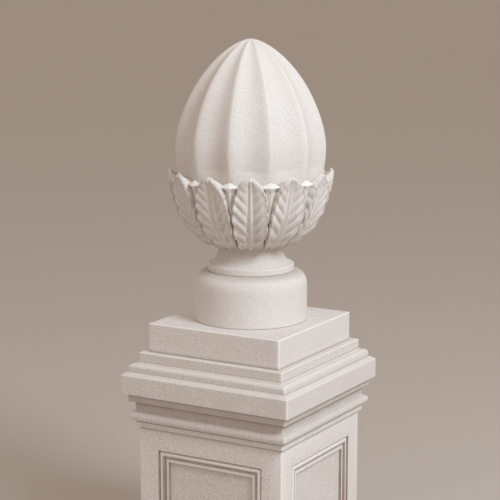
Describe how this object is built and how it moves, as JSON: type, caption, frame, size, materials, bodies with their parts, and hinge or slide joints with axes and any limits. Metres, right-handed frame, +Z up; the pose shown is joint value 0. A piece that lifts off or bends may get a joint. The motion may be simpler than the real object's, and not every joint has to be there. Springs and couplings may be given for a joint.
{
  "type": "post finial",
  "caption": "Square panelled post head with a moulded, stepped cap and a plinth block, topped by a turned foot, a cup of carved leaves and a pointed fluted bud.",
  "frame": {"origin": "centre of the flat underside of the post head", "axes": "+Z up the axis of the post and the finial, +X and +Y square to the panelled faces"},
  "size_m": [0.349, 0.349, 1.0072],
  "materials": {
    "finial stone": "matte",
    "plinth stone": "matte",
    "cap stone": "matte",
    "post stone": "matte"
  },
  "bodies": {
    "root": {"finial": "finial stone", "plinth": "plinth stone", "cap": "cap stone", "post": "post stone"}
  },
  "joints": []
}
